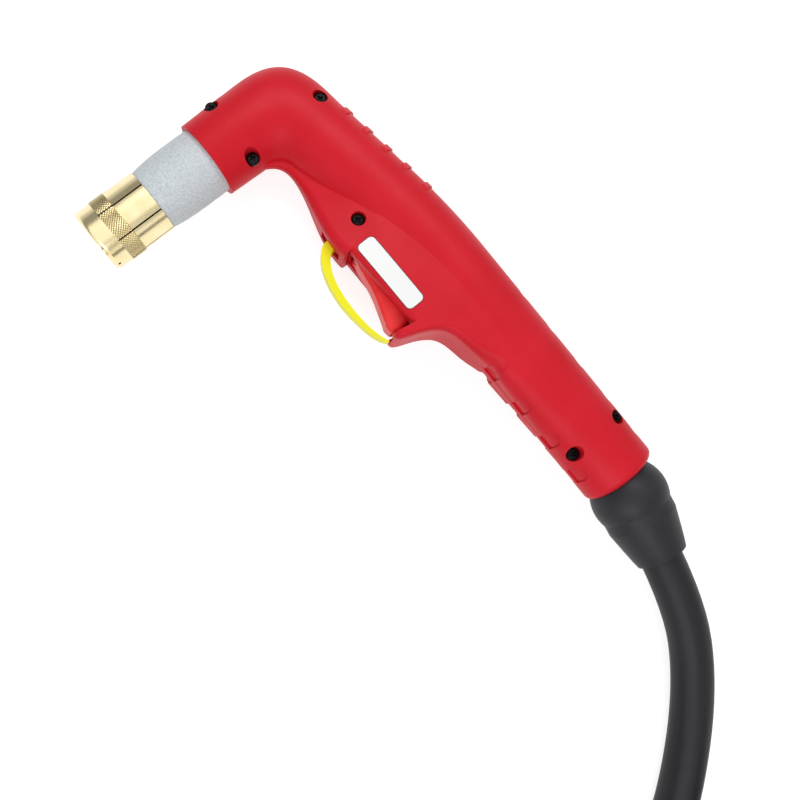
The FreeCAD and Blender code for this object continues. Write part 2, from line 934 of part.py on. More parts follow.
def gas_tube():
    rear = elbow - fall * ((pipe_rear_x - elbow_x) / math.cos(bend))
    points = [rear, elbow, on_head(cathode_start)]
    return bent_rod(points, [pipe_bend], pipe_r), rear


def lead_nut(rear):
    """A six-sided nut made along X, bored for the pipe in front and for the hose behind."""
    corner_r = nut_across / math.sqrt(3)
    angles = [math.radians(60 * i) for i in range(7)]
    corners = [V(0, corner_r * math.cos(a), corner_r * math.sin(a)) for a in angles]
    prism = Part.Face(Part.makePolygon(corners)).extrude(V(nut_len, 0, 0))
    prism = prism.cut(rod(pipe_r + slip, V(nut_len / 2, 0, 0), V(nut_len + past, 0, 0)))
    prism = prism.cut(rod(hose_r - hose_wall, V(-past, 0, 0), V(nut_len / 2 - past, 0, 0)))
    return placed(prism, rear - fall * (nut_len / 2), fall)


def lead_hose(rear):
    start = rear - fall * (nut_len / 2)
    points = [start, start - fall * hose_straight, V(hose_turn_x, 0, 0), V(hose_rear_x, 0, 0)]
    return bent_rod(points, hose_bends, hose_r)


def pilot_wire():
    points = [V(x, y, terminal_z) for x, y in pilot_route]
    points.append(on_head(collar_y - terminal_root, 0, terminal_z))
    return bent_rod(points, pilot_bends, pilot_r)


def trigger():
    pin = V(trigger_pin_x, trigger_pin_y, 0)
    body = curved_plate([trigger_line[:7], trigger_line[7:], trigger_back], -trigger_half, trigger_half)
    front = trigger_line[3]
    edges = []
    for edge in body.Edges:
        level = edge.BoundBox.ZLength < slip
        if level and edge.BoundBox.XLength > past and edge.CenterOfMass.y < front[1] + past:
            edges.append(edge)
    body = body.makeFillet(trigger_round, edges)
    ear = rod(trigger_ear_r, pin - Z * trigger_half, pin + Z * trigger_half)
    body = body.fuse(ear).removeSplitter()
    body = body.cut(rod(trigger_pin_r + slip, pin - Z * big, pin + Z * big))
    room_r = spring_r + spring_wire + gap
    room = rod(room_r, pin - Z * spring_room, pin + Z * spring_room)
    leg = box(pin.x - room_r, pin.x + room_r, pin.y, pin.y + spring_leg, -spring_room, spring_room)
    return body.cut(room.fuse(leg))


def hinge_pin(x, y, r, half):
    return rod(r, V(x, y, -half), V(x, y, half))


def trigger_spring():
    """A torsion spring round the trigger's pin with one leg on each side."""
    high = spring_pitch * spring_turns
    helix = Part.makeHelix(spring_pitch, high, spring_r)
    section = Part.Wire(Part.makeCircle(spring_wire / 2, V(spring_r, 0, 0), Y))
    coil = Part.Wire(helix).makePipeShell([section], True, True)
    leg = rod(spring_wire / 2, V(spring_r, -spring_wire / 2, 0), V(spring_r, spring_leg, 0))
    return moved(fused([coil, leg]), V(trigger_pin_x, trigger_pin_y, -high / 2))


def switch_body():
    half = switch_len / 2
    low = switch_y - switch_high / 2
    body = box(switch_x - half, switch_x + half, low, low + switch_high, -switch_half, switch_half)
    way = rod(plunger_r + slip, V(plunger_x, low - past, 0), V(plunger_x, low + plunger_well, 0))
    return body.cut(way)


def switch_plunger():
    low = switch_y - switch_high / 2
    tip = trigger_top(plunger_x) + slip
    return rod(plunger_r, V(plunger_x, tip, 0), V(plunger_x, low + plunger_in, 0))


def trigger_top(x):
    line = sorted(trigger_back)
    for a, b in zip(line, line[1:]):
        if a[0] <= x <= b[0]:
            return a[1] + (b[1] - a[1]) * (x - a[0]) / (b[0] - a[0])
    return line[0][1]


def switch_leads():
    """Two wires from the switch's rear face, one along each side of the handle."""
    top = switch_y + switch_high / 2
    wires = []
    for side, off in zip((1, -1), lead_x):
        x = switch_x + off
        bent = V(x, top + lead_rise, side * lead_z)
        aside = V(x + lead_back, top + lead_rise, side * lead_side)
        points = [V(x, top, side * lead_z), bent, aside, V(hose_rear_x, lead_end_y, side * lead_side)]
        wires.append(bent_rod(points, lead_bends, lead_wire_r))
    return Part.makeCompound(wires)


def safety_lever():
    pin = V(guard_pin_x, guard_pin_y, 0)
    bow = curved_plate([guard_outer, guard_inner], -guard_half, guard_half)
    stem = plate(guard_stem, -guard_half, guard_half)
    ear = rod(guard_ear_r, pin - Z * guard_half, pin + Z * guard_half)
    body = fused([bow, stem, ear])
    return body.cut(rod(guard_pin_r + slip, pin - Z * big, pin + Z * big))


def from_swivel(a):
    return swivel + boot_way * a


def cable_boot():
    """Rubber boot: ball front that turns in the handle's mouth, then a long taper."""
    start, side = boot_profile[0][0], math.sqrt(ball_r**2 - boot_profile[0][0] ** 2)
    rear_half = placed(Part.makeBox(big, big, big, V(start, -big / 2, -big / 2)), swivel, boot_way)
    ball = Part.makeSphere(ball_r, swivel).cut(rear_half)
    profile = [(start, 0), (start, side)] + boot_profile[1:]
    rear = turned(profile + [(boot_profile[-1][0], 0)], swivel, boot_way)
    body = ball.fuse(rear).removeSplitter()
    inside = ball_r - ring_groove_deep
    groove_end = ring_groove + ring_groove_w
    groove = turned(
        [(ring_groove, inside), (ring_groove, big), (groove_end, big), (groove_end, inside)],
        swivel, boot_way,
    )
    core_way = rod(core_r + slip, from_swivel(-reach), from_swivel(boot_cavity))
    cable_way = rod(cable_r + slip, from_swivel(boot_cavity), from_swivel(reach))
    return body.cut([groove, core_way, cable_way])


def swivel_core():
    """Stem through the handle's seat, from the flange inside it to the cable."""
    inner = seat_out + slip
    return rod(core_r, from_swivel(-inner - flange_w), from_swivel(boot_cavity))


def swivel_flange():
    inner = seat_out + slip
    disc = rod(flange_r, from_swivel(-inner - flange_w), from_swivel(-inner / 2))
    disc = disc.cut(Part.makeSphere(inner, swivel))
    return disc.cut(rod(core_r + slip, from_swivel(-reach), swivel))


def route_solid(points, name):
    """A cable stretch of straight runs joined by tangent arcs, as one round tube."""
    runs = [(b - a).Length for a, b in zip(points, points[1:])]
    radii = []
    for i in range(1, len(points) - 1):
        angle = (points[i] - points[i - 1]).getAngle(points[i + 1] - points[i])
        radii.append(part_of_run * min(runs[i - 1], runs[i]) / math.tan(angle / 2))
    wire = bent_wire(points, radii)
    section = Part.Wire(Part.makeCircle(cable_r, points[0], points[1] - points[0]))
    solid = wire.makePipeShell([section], True, False)
    ratio = solid.Volume / (math.pi * cable_r**2 * wire.Length)
    print(name, "radii", [round(r, 1) for r in radii], "runs", [round(r, 1) for r in runs],
          "length", round(wire.Length, 1), "volume ratio", round(ratio, 4))
    return solid


way = V(math.cos(math.radians(coil_deg)), math.sin(math.radians(coil_deg)), 0)
across = V(-way.y, way.x, 0)
half_pitch = (cable_d + coil_side_gap) / 2
layer_rise = cable_d + coil_layer_gap
coil_middle = V(coil_x, coil_y, 0)
coil_in_at = coil_middle - across * coil_r + Z * cable_z


def arc_between(p0, t0, p1):
    """The circle's arc that leaves p0 along t0 and ends in p1, with its end direction."""
    chord = p1 - p0
    unit = V(chord)
    unit.normalize()
    t1 = unit * (2 * t0.dot(unit)) - t0
    inward = (t1 - t0).normalize()
    angle = t0.getAngle(t1)
    radius = chord.Length / 2 / math.sin(angle / 2)
    middle = (p0 + p1) * 0.5 - inward * (radius * (1 - math.cos(angle / 2)))
    return Part.Arc(p0, middle, p1).toShape()


def biarc(p0, t0, p1, t1):
    """Two arcs that join smoothly and take the direction from t0 to t1."""
    v = p1 - p0
    t = t0 + t1
    a = 2 * (1 - t0.dot(t1))
    d = (-v.dot(t) + math.sqrt(v.dot(t) ** 2 + a * v.dot(v))) / a
    joint = (p0 + p1 + (t0 - t1) * d) * 0.5
    first = arc_between(p0, t0, joint)
    second = arc_between(p1, t1 * -1, joint)
    return [first, second]


def half_turns():
    """Radius and rise of each half turn: a layer in, one out, and one in that ends raised.

    The spiral climbs in the half turn where it reverses, and the last half turn
    lifts the end so that the connector lies on the turns beneath it.
    """
    there = [(coil_r - i * half_pitch, 0) for i in range(coil_layer_turns)]
    turning = [(coil_r - coil_layer_turns * half_pitch, layer_rise)]
    back = there[:0:-1]
    outer = [(coil_r, layer_rise)]
    over = there[1:-1] + [(there[-1][0], nut_r + cable_r + coil_rest_gap)]
    return there + turning + back + outer + over


def coil_stations():
    """Start, middle and end of each half turn with the directions there."""
    stations = []
    point = V(coil_in_at)
    facing = 1
    for radius, rise in half_turns():
        side = across * facing
        ahead = way * facing
        centre = point + side * radius
        quarter = centre + ahead * radius + Z * (rise / 2)
        end = centre + side * radius + Z * rise
        lift = rise / (math.pi * radius) * 2
        tangent = (side + Z * lift).normalize()
        stations.append((point, V(ahead), quarter, tangent, end, ahead * -1))
        point = end
        facing = -facing
    return stations


def coil_wire():
    edges = [Part.LineSegment(coil_in_at - way * cable_d, coil_in_at).toShape()]
    for start, ahead, quarter, tangent, end, back in coil_stations():
        if abs(end.z - start.z) < slip:
            edges.append(Part.Arc(start, quarter, end).toShape())
        else:
            edges += biarc(start, ahead, quarter, tangent)
            edges += biarc(quarter, tangent, end, back)
    edges.append(Part.LineSegment(end, end + way * cable_d).toShape())
    return Part.Wire(Part.sortEdges(edges)[0])


def cable_coil():
    wire = coil_wire()
    section = Part.Wire(Part.makeCircle(cable_r, coil_in_at - way * cable_d, way))
    solid = wire.makePipeShell([section], True, False)
    ratio = solid.Volume / (math.pi * cable_r**2 * wire.Length)
    points = wire.discretize(Distance=path_step)
    skip = int(near_turns * cable_d / path_step)
    least = min((p - q).Length for i, p in enumerate(points) for q in points[i + skip:])
    print("coil length", round(wire.Length, 1), "volume ratio", round(ratio, 4),
          "least gap", round(least - cable_d, 2))
    return solid


def run_route():
    start = from_swivel(boot_cavity)
    end = coil_in_at - way * cable_d
    return [start] + [V(*p) for p in run_points] + [end - way * run_last, end]


def connector_parts():
    """The plug on the cable's end, made along X from the cable's end and then laid in place."""
    neck = sleeve_len - sleeve_socket
    bore = cable_r - sleeve_wall
    sleeve = turned(
        [
            (-sleeve_socket, cable_r + slip), (-sleeve_socket, sleeve_small_r),
            (sleeve_step, sleeve_small_r + sleeve_edge),
            (neck - 2 * sleeve_step, body_r - sleeve_edge), (neck, body_r),
            (neck, bore), (0, bore), (0, cable_r + slip),
        ],
        V(0, 0, 0), X,
    )
    front = neck + body_len
    nut_at = front - nut_back
    thread_r = nut_bore_r - thread_deep
    step_r = body_r - body_step
    body = turned(
        [
            (neck, bore), (neck, body_r), (nut_at - nut_root, body_r), (nut_at - nut_root, step_r),
            (front - thread_len, step_r), (front - thread_len, thread_r), (front, thread_r),
            (front, 0), (front - face_t, 0), (front - face_t, bore),
        ],
        V(0, 0, 0), X,
    )
    nut_end = nut_at + nut_front
    shoulder = front - thread_len + gap
    nut = turned(
        [
            (nut_at, step_r + gap), (nut_at, nut_r - nut_edge), (nut_at + nut_edge, nut_r),
            (nut_end - nut_edge, nut_r), (nut_end, nut_r - nut_edge),
            (nut_end, nut_bore_r), (shoulder, nut_bore_r), (shoulder, step_r + gap),
        ],
        V(0, 0, 0), X,
    )
    high = Z * (nut_r + nut_groove_r / 3)
    groove = rod(nut_groove_r, X * (nut_at + nut_groove_end) + high, X * (nut_end - nut_groove_end) + high)
    nut = nut.cut([turn(groove, X, i * 360 / nut_grooves) for i in range(nut_grooves)])
    pin_in = X * (front - pin_root)
    contacts = [rod(gas_pin_r, pin_in, X * (front + pin_out))]
    pin = rod(pin_r, pin_in + Z * pin_ring_r, X * (front + pin_out - pin_short) + Z * pin_ring_r)
    contacts += [turn(pin, X, i * 360 / pins) for i in range(pins)]
    body = body.cut(contacts)
    laid = [turn(piece, Z, coil_deg) for piece in (sleeve, body, nut, Part.makeCompound(contacts))]
    end = coil_stations()[-1][4] + way * cable_d
    for piece in laid:
        piece.translate(end)
    return laid + [end + way * front]


outer = handle_outer()
upper, lower = shells(outer)
label = label_plate(outer)
pipe, pipe_rear = gas_tube()
sleeve, plug_body, coupling, contacts, plug_face = connector_parts()
cord = {
    "cable_run": route_solid(run_route(), "cable_run"),
    "cable_coil": cable_coil(),
    "connector_sleeve": sleeve,
    "connector_body": plug_body,
    "coupling_nut": coupling,
    "contact_pins": contacts,
}
pieces = {
    "upper_shell": main_solid(upper),
    "lower_shell": main_solid(lower),
    "shell_screws": Part.makeCompound([shell_screw(*s) for s in screws]),
    "label_plate": label,
    "head_sleeve": head_sleeve(),
    "sleeve_o_ring": o_ring(),
    "cathode_body": cathode_body(),
    "electrode": electrode(),
    "electrode_insert": electrode_insert(),
    "swirl_ring": swirl_ring(),
    "nozzle": nozzle(),
    "retaining_cap": retaining_cap(),
    "cap_ring": cap_ring(),
    "pilot_terminal": pilot_terminal(),
    "gas_tube": pipe,
    "lead_nut": lead_nut(pipe_rear),
    "lead_hose": lead_hose(pipe_rear),
    "pilot_wire": pilot_wire(),
    "trigger": trigger(),
    "trigger_pin": hinge_pin(trigger_pin_x, trigger_pin_y, trigger_pin_r, trigger_half + pin_over - slip),
    "trigger_spring": trigger_spring(),
    "switch_body": switch_body(),
    "switch_plunger": switch_plunger(),
    "switch_leads": switch_leads(),
    "safety_lever": safety_lever(),
    "safety_pin": hinge_pin(guard_pin_x, guard_pin_y, guard_pin_r, guard_half + pin_over - slip),
    "cable_boot": cable_boot(),
    "swivel_core": swivel_core(),
    "swivel_flange": swivel_flange(),
}
bounds = FreeCAD.BoundBox()
for shape in pieces.values():
    bounds.add(shape.optimalBoundingBox(False, False))
home = V(-bounds.Center.x, -bounds.Center.y, -bounds.ZMin)
print("home", [round(v, 3) for v in home], "box", bounds)
for name, shape in list(pieces.items()) + list(cord.items()):
    shape = moved(shape, home)
    print(name, len(shape.Solids), round(shape.Volume), shape.isValid(), shape.BoundBox)
    shape.exportStep("parts/" + name + ".step")
for name, point in (
    ("trigger hinge", V(trigger_pin_x, trigger_pin_y, 0)),
    ("plunger", V(plunger_x, switch_y - switch_high / 2, 0)),
    ("safety hinge", V(guard_pin_x, guard_pin_y, 0)),
    ("cap axis", on_head(cap_start)),
    ("swivel", swivel),
    ("connector face", plug_face),
    ("lip", from_swivel(boot_profile[-1][0])),
    ("label", V(label_x, label_y, label.BoundBox.ZMax)),
):
    print(name, [round(v, 3) for v in point + home])
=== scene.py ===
import math
import bpy
import numpy as np
from mathutils import Matrix, Vector


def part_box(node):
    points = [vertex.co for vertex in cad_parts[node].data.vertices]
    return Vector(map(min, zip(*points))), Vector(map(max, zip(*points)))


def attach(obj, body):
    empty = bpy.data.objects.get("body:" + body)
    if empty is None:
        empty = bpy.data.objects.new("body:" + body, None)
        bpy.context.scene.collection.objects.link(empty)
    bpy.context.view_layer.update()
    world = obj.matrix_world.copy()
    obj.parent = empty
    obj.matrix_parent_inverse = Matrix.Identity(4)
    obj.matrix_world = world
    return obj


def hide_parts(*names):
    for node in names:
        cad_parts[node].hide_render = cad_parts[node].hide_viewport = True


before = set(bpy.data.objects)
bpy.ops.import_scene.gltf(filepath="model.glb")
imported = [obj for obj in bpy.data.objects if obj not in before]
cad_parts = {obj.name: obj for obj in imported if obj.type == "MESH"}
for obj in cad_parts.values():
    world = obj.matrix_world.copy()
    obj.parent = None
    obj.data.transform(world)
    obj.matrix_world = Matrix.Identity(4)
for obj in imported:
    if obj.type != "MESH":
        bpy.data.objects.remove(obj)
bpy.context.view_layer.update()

mm = 0.001
scene = bpy.context.scene
scene.view_settings.view_transform = "Standard"
shellLow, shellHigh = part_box("upper_shell")
tubeRadius = 18.0 * mm
# the middle of the handle's rear rim, from which the photo was measured
rear = Vector((shellHigh.x, shellHigh.y - tubeRadius, shellLow.z))


def fromRear(x, y, z):
    return rear + Vector((x, y, z)) * mm


# camera: at the place from which the photo was taken, almost straight above the trigger
camera = {
    "place": (-100.3, -110.05, 368.0),
    "right": (0.6347, 0.7622, 0.1278),
    "up": (-0.7724, 0.6310, 0.0734),
    "focalPixels": 836.0,
    "imagePixels": 800.0,
    "sensorWidth": 36.0,
    "nearest": 0.01,
    "farthest": 20.0,
}


def makeCamera(settings):
    data = bpy.data.cameras.new("camera")
    obj = bpy.data.objects.new("camera", data)
    scene.collection.objects.link(obj)
    right = Vector(settings["right"]).normalized()
    up = Vector(settings["up"])
    up = (up - right * up.dot(right)).normalized()
    back = right.cross(up)
    matrix = Matrix((right, up, back)).transposed().to_4x4()
    matrix.translation = fromRear(*settings["place"])
    obj.matrix_world = matrix
    data.sensor_fit = "HORIZONTAL"
    data.sensor_width = settings["sensorWidth"]
    data.lens = settings["sensorWidth"] * settings["focalPixels"] / settings["imagePixels"]
    data.clip_start = settings["nearest"]
    data.clip_end = settings["farthest"]
    scene.camera = obj


makeCamera(camera)
print("camera placed")

# cord: the free stretch and the put-away coil, as one line of control points; lengths in mm,
# places from the middle of the handle's rear rim
cable = {
    "radius": 9.75,
    "floor": -18.0,
    "startAlongBoot": 10.0,
    "bootDegrees": -11.0,
    "swivel": (9.8, -2.35, 0.0),
    "route": [(60.9, -12.3, 0.0), (98.5, -33.2, -7.05), (131.0, -70.8, -8.25)],
    "lastRun": 35.0,
    "coilMiddle": (277.9, -120.4),
    "coilDegrees": -72.0,
    "coilRadius": 118.2,
    "sideGap": 0.8,
    "layerGap": 0.6,
    "layerTurns": 4,
    "nutRadius": 18.4,  # the last turn rises until the connector's nut lies on the coil
    "pointsPerHalfTurn": 8,
    "stepsPerPoint": 8,
    "roundness": 8,
}


def heading(degrees):
    return np.array([math.cos(math.radians(degrees)), math.sin(math.radians(degrees)), 0.0])


# radius and rise of each half turn: a layer in, one out, and one in that ends raised
def halfTurns(settings):
    diameter = 2 * settings["radius"]
    step = (diameter + settings["sideGap"]) / 2
    rise = diameter + settings["layerGap"]
    radii = [settings["coilRadius"] - i * step for i in range(settings["layerTurns"] + 1)]
    there = [(r, 0.0) for r in radii[:-1]]
    last = (radii[-2], settings["nutRadius"] + settings["radius"] + settings["layerGap"])
    return there + [(radii[-1], rise)] + there[:0:-1] + [(radii[0], rise)] + there[1:-1] + [last]


# the lead leaves the boot along its axis, passes the route's points and enters the coil on a
# straight; a half turn then goes from 0 to 180 degrees round its middle at its own radius,
# and rises by the smooth step 3t^2 - 2t^3 of the share t that is done
def cablePoints(settings):
    diameter = 2 * settings["radius"]
    way = heading(settings["coilDegrees"])
    across = np.array([-way[1], way[0], 0.0])
    up = np.array([0.0, 0.0, 1.0])
    middle = np.array([*settings["coilMiddle"], 0.0])
    inAt = middle - across * settings["coilRadius"] + up * (settings["floor"] + settings["radius"])
    alongBoot = heading(settings["bootDegrees"]) * settings["startAlongBoot"]
    start = np.array(settings["swivel"]) + alongBoot
    points = [start] + [np.array(p) for p in settings["route"]]
    points += [inAt - way * (diameter + settings["lastRun"]), inAt - way * diameter]
    # the control points stand outside the half circle, so that the smooth curve touches it
    # midway between them
    count = settings["pointsPerHalfTurn"]
    share = (np.arange(count)[:, None] + 0.5) / count
    angle = math.pi * share
    lift = share * share * (3 - 2 * share)
    point, facing = inAt, 1
    for radius, rise in halfTurns(settings):
        centre = point + across * facing * radius
        outside = facing * radius / math.cos(math.pi / count / 2)
        turned = way * outside * np.sin(angle) - across * outside * np.cos(angle)
        points.extend(centre + turned + up * rise * lift)
        point = centre + across * facing * radius + up * rise
        facing = -facing
    points.append(point + way * diameter)
    return np.array(points)


# the thickness is in the points' radius and not in the bevel's depth, because Blender takes
# the radius for the curve's box
def curveFrom(name, points, settings):
    data = bpy.data.curves.new(name, "CURVE")
    data.dimensions = "3D"
    data.bevel_depth = 1.0
    data.bevel_resolution = settings["roundness"]
    data.resolution_u = settings["stepsPerPoint"]
    data.use_fill_caps = True
    spline = data.splines.new("NURBS")
    spline.points.add(len(points) - 1)
    flat = np.ones((len(points), 4), dtype=np.float32)
    flat[:, :3] = points
    spline.points.foreach_set("co", flat.ravel())
    thickness = np.full(len(points), settings["radius"] * mm, dtype=np.float32)
    spline.points.foreach_set("radius", thickness)
    spline.order_u = 3
    spline.use_endpoint_u = True
    obj = bpy.data.objects.new(name, data)
    scene.collection.objects.link(obj)
    return obj


linePoints = cablePoints(cable) * mm + np.array(rear)
lead = curveFrom("lead", linePoints, cable)
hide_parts("cable_run", "cable_coil")
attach(lead, "lead")


# a hex code is turned from sRGB to linear
def colour(code):
    values = [int(code[i : i + 2], 16) / 255 for i in (1, 3, 5)]
    return [v / 12.92 if v <= 0.04045 else ((v + 0.055) / 1.055) ** 2.4 for v in values] + [1.0]


# adds a node, sets its attributes, and gives each input its value or a link from a socket
def addNode(tree, kind, inputs, **attributes):
    node = tree.nodes.new(kind)
    for key, value in attributes.items():
        setattr(node, key, value)
    for key, value in inputs.items():
        if isinstance(value, bpy.types.NodeSocket):
            tree.links.new(value, node.inputs[key])
        else:
            node.inputs[key].default_value = value
    return node


def startMaterial(name):
    material = bpy.data.materials.new(name)
    material.use_nodes = True
    material.node_tree.nodes.clear()
    return material, material.node_tree


# noise lies mostly between these two values, which are spread over the whole of a range
noiseEnds = {"From Min": 0.3, "From Max": 0.7}
cloudNoise = {"Detail": 3.0, "Roughness": 0.55}
fineNoise = {"Detail": 2.0, "Roughness": 0.55}
# how far the roughness goes up and down over a surface
plasticPlay = 0.03
metalPlay = 0.04


# moulded plastic or rubber: even colour, fine mould grain, slight gloss changes
def plastic(name, settings):
    material, tree = startMaterial(name)
    place = addNode(tree, "ShaderNodeTexCoord", {}).outputs["Object"]
    cloud = addNode(
        tree,
        "ShaderNodeTexNoise",
        {"Vector": place, "Scale": 1 / (settings["cloudSize"] * mm), **cloudNoise},
    ).outputs["Fac"]
    fine = addNode(
        tree,
        "ShaderNodeTexNoise",
        {"Vector": place, "Scale": 1 / (settings["grainSize"] * mm), **fineNoise},
    ).outputs["Fac"]
    share = addNode(tree, "ShaderNodeMapRange", {"Value": cloud, **noiseEnds}).outputs["Result"]
    tone = addNode(
        tree,
        "ShaderNodeMix",
        {"Factor": share, "A": colour(settings["colour"]), "B": colour(settings["shade"])},
        data_type="RGBA",
    ).outputs["Result"]
    roughEnds = {
        "To Min": settings["roughness"] - plasticPlay,
        "To Max": settings["roughness"] + plasticPlay,
    }
    gloss = addNode(
        tree, "ShaderNodeMapRange", {"Value": cloud, **noiseEnds, **roughEnds}
    ).outputs["Result"]
    relief = addNode(
        tree,
        "ShaderNodeBump",
        {"Height": fine, "Strength": 1.0, "Distance": settings["grainDepth"] * mm},
    ).outputs["Normal"]
    shader = addNode(
        tree,
        "ShaderNodeBsdfPrincipled",
        {
            "Base Color": tone,
            "Roughness": gloss,
            "Normal": relief,
            "IOR": settings["ior"],
            "Specular IOR Level": settings["specular"],
        },
    ).outputs["BSDF"]
    addNode(tree, "ShaderNodeOutputMaterial", {"Surface": shader})
    return material


# 1 where a turned piece lies nearer its axis than a radius, over a length from its rear end,
# and 0 elsewhere: the mask of the painted shade in the cap's slits
def recess(tree, place, settings):
    low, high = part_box(settings["node"])
    off = place
    for operation, other in (
        ("SUBTRACT", ((low.x + high.x) / 2, 0.0, rear.z)),
        ("MULTIPLY", (1, 0, 1)),
    ):
        off = addNode(
            tree, "ShaderNodeVectorMath", {0: off, 1: other}, operation=operation
        ).outputs["Vector"]
    away = addNode(tree, "ShaderNodeVectorMath", {0: off}, operation="LENGTH").outputs["Value"]
    along = addNode(tree, "ShaderNodeSeparateXYZ", {"Vector": place}).outputs["Y"]
    deep, behind = (
        addNode(tree, "ShaderNodeMath", {0: value, 1: limit}, operation=operation).outputs[0]
        for operation, value, limit in (
            ("LESS_THAN", away, settings["radius"] * mm),
            ("GREATER_THAN", along, high.y - settings["length"] * mm),
        )
    )
    return addNode(tree, "ShaderNodeMath", {0: deep, 1: behind}, operation="MULTIPLY").outputs[0]


# turned metal: fine rings left by the tool, running round the given axis, and a painted shade
# where a recess lies or where the height attribute is low
def metal(name, settings):
    material, tree = startMaterial(name)
    place = addNode(tree, "ShaderNodeTexCoord", {}).outputs["Object"]
    cloud = addNode(
        tree,
        "ShaderNodeTexNoise",
        {"Vector": place, "Scale": 1 / (settings["cloudSize"] * mm), **fineNoise},
    ).outputs["Fac"]
    split = addNode(tree, "ShaderNodeSeparateXYZ", {"Vector": place}).outputs
    rings = addNode(
        tree,
        "ShaderNodeTexNoise",
        {"W": split[settings["axis"]], "Scale": 1 / (settings["ringSize"] * mm), "Detail": 3.0},
        noise_dimensions="1D",
    ).outputs["Fac"]
    share = addNode(tree, "ShaderNodeMapRange", {"Value": cloud, **noiseEnds}).outputs["Result"]
    tone = addNode(
        tree,
        "ShaderNodeMix",
        {"Factor": share, "A": colour(settings["colour"]), "B": colour(settings["shade"])},
        data_type="RGBA",
    ).outputs["Result"]
    if "paintedShade" in settings:
        if "recess" in settings:
            low = recess(tree, place, settings["recess"])
        else:
            height = addNode(tree, "ShaderNodeAttribute", {}, attribute_name="height")
            low = addNode(
                tree, "ShaderNodeMath", {0: 1.0, 1: height.outputs["Fac"]}, operation="SUBTRACT"
            ).outputs[0]
        # painted shade: the darker colour is mixed in inside the recess, or the more the lower the
        # knurl is
        tone = addNode(
            tree,
            "ShaderNodeMix",
            {"Factor": low, "A": tone, "B": colour(settings["paintedShade"])},
            data_type="RGBA",
        ).outputs["Result"]
    roughEnds = {
        "To Min": settings["roughness"] - metalPlay,
        "To Max": settings["roughness"] + metalPlay,
    }
    gloss = addNode(
        tree, "ShaderNodeMapRange", {"Value": rings, **noiseEnds, **roughEnds}
    ).outputs["Result"]
    relief = addNode(
        tree,
        "ShaderNodeBump",
        {"Height": rings, "Strength": 1.0, "Distance": settings["ringDepth"] * mm},
    ).outputs["Normal"]
    shader = addNode(
        tree,
        "ShaderNodeBsdfPrincipled",
        {"Base Color": tone, "Metallic": 1.0, "Roughness": gloss, "Normal": relief},
    ).outputs["BSDF"]
    addNode(tree, "ShaderNodeOutputMaterial", {"Surface": shader})
    return material


def paint(material, *names):
    for name in names:
        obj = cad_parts[name]
        if not obj.material_slots:
            obj.data.materials.append(material)
        for slot in obj.material_slots:
            slot.material = material


# in the settings below, sizes and depths are in mm

# glass-filled nylon, injection moulded in a fine spark-eroded mould: an even red with a
# satin sheen
redShell = {
    "colour": "#DE1F30", "shade": "#D61827", "roughness": 0.46, "ior": 1.53, "specular": 0.16,
    "cloudSize": 22.0, "grainSize": 0.35, "grainDepth": 0.012,
}
# acetal, injection moulded in a polished mould: a red lighter and glossier than the shell's
redTrigger = {
    "colour": "#FF4547", "shade": "#FB3236", "roughness": 0.36, "ior": 1.48, "specular": 0.2,
    "cloudSize": 12.0, "grainSize": 0.3, "grainDepth": 0.004,
}
# the same acetal in yellow, moulded in the same way: a full yellow, a little less glossy
yellowLever = {
    "colour": "#FFFF26", "shade": "#FFFA1C", "roughness": 0.4, "ior": 1.48, "specular": 0.2,
    "cloudSize": 12.0, "grainSize": 0.3, "grainDepth": 0.004,
}
# glass-fibre filled polyester moulding compound, compression moulded: pale grey and matt,
# finely mottled
insulator = {
    "colour": "#E1E7EA", "shade": "#C3CBD0", "roughness": 0.55, "ior": 1.56, "specular": 0.4,
    "cloudSize": 1.0, "grainSize": 0.45, "grainDepth": 0.03,
}
# nitrile rubber, compression moulded: black and dull
blackRubber = {
    "colour": "#222127", "shade": "#1F1E24", "roughness": 0.5, "ior": 1.52, "specular": 0.3,
    "cloudSize": 14.0, "grainSize": 0.35, "grainDepth": 0.01,
}
# glass-filled nylon, injection moulded: black, a little glossier than the rubber
blackNylon = {
    "colour": "#1C1C1F", "shade": "#17171A", "roughness": 0.42, "ior": 1.53, "specular": 0.4,
    "cloudSize": 14.0, "grainSize": 0.35, "grainDepth": 0.01,
}
# black oxide left on steel by a hot bath, oiled: almost black, with small sharp highlights
blackOxide = {
    "colour": "#0C080A", "shade": "#070506", "roughness": 0.3, "ior": 1.45, "specular": 0.1,
    "cloudSize": 3.0, "grainSize": 0.2, "grainDepth": 0.002,
}
# polyimide, turned from rod: tan and half matt
swirlPart = {
    "colour": "#B99A66", "shade": "#AD8F5C", "roughness": 0.5, "ior": 1.6, "specular": 0.5,
    "cloudSize": 2.0, "grainSize": 0.4, "grainDepth": 0.008,
}
# soft vinyl, extruded over the small wires: off-white, smooth, with a soft shine
wireSheath = {
    "colour": "#E4E2DA", "shade": "#DAD8D0", "roughness": 0.45, "ior": 1.5, "specular": 0.5,
    "cloudSize": 6.0, "grainSize": 0.3, "grainDepth": 0.004,
}
# free-cutting brass, turned and bright dipped: pale gold and shiny, with faint tool rings
brass = {
    "colour": "#F4E4B8", "shade": "#ECDAA8", "roughness": 0.22,
    "cloudSize": 8.0, "ringSize": 0.25, "ringDepth": 0.0006, "axis": "Y",
}
# the same brass with painted shade: dark in the cap's slits, and darker towards the bottom of
# the grooves of its knurl
capBrass = dict(
    brass, paintedShade="#3A3220", recess={"node": "retaining_cap", "radius": 14.25, "length": 22.5}
)
# painted shade in the knurl's grooves, darker the deeper the groove
knurledBrass = dict(brass, paintedShade="#8F7E50", roughness=0.26)
# electrical copper, turned: pink gold and shiny, with faint tool rings
copper = {
    "colour": "#E8A98A", "shade": "#DF9C7C", "roughness": 0.24,
    "cloudSize": 8.0, "ringSize": 0.25, "ringDepth": 0.0008, "axis": "Y",
}
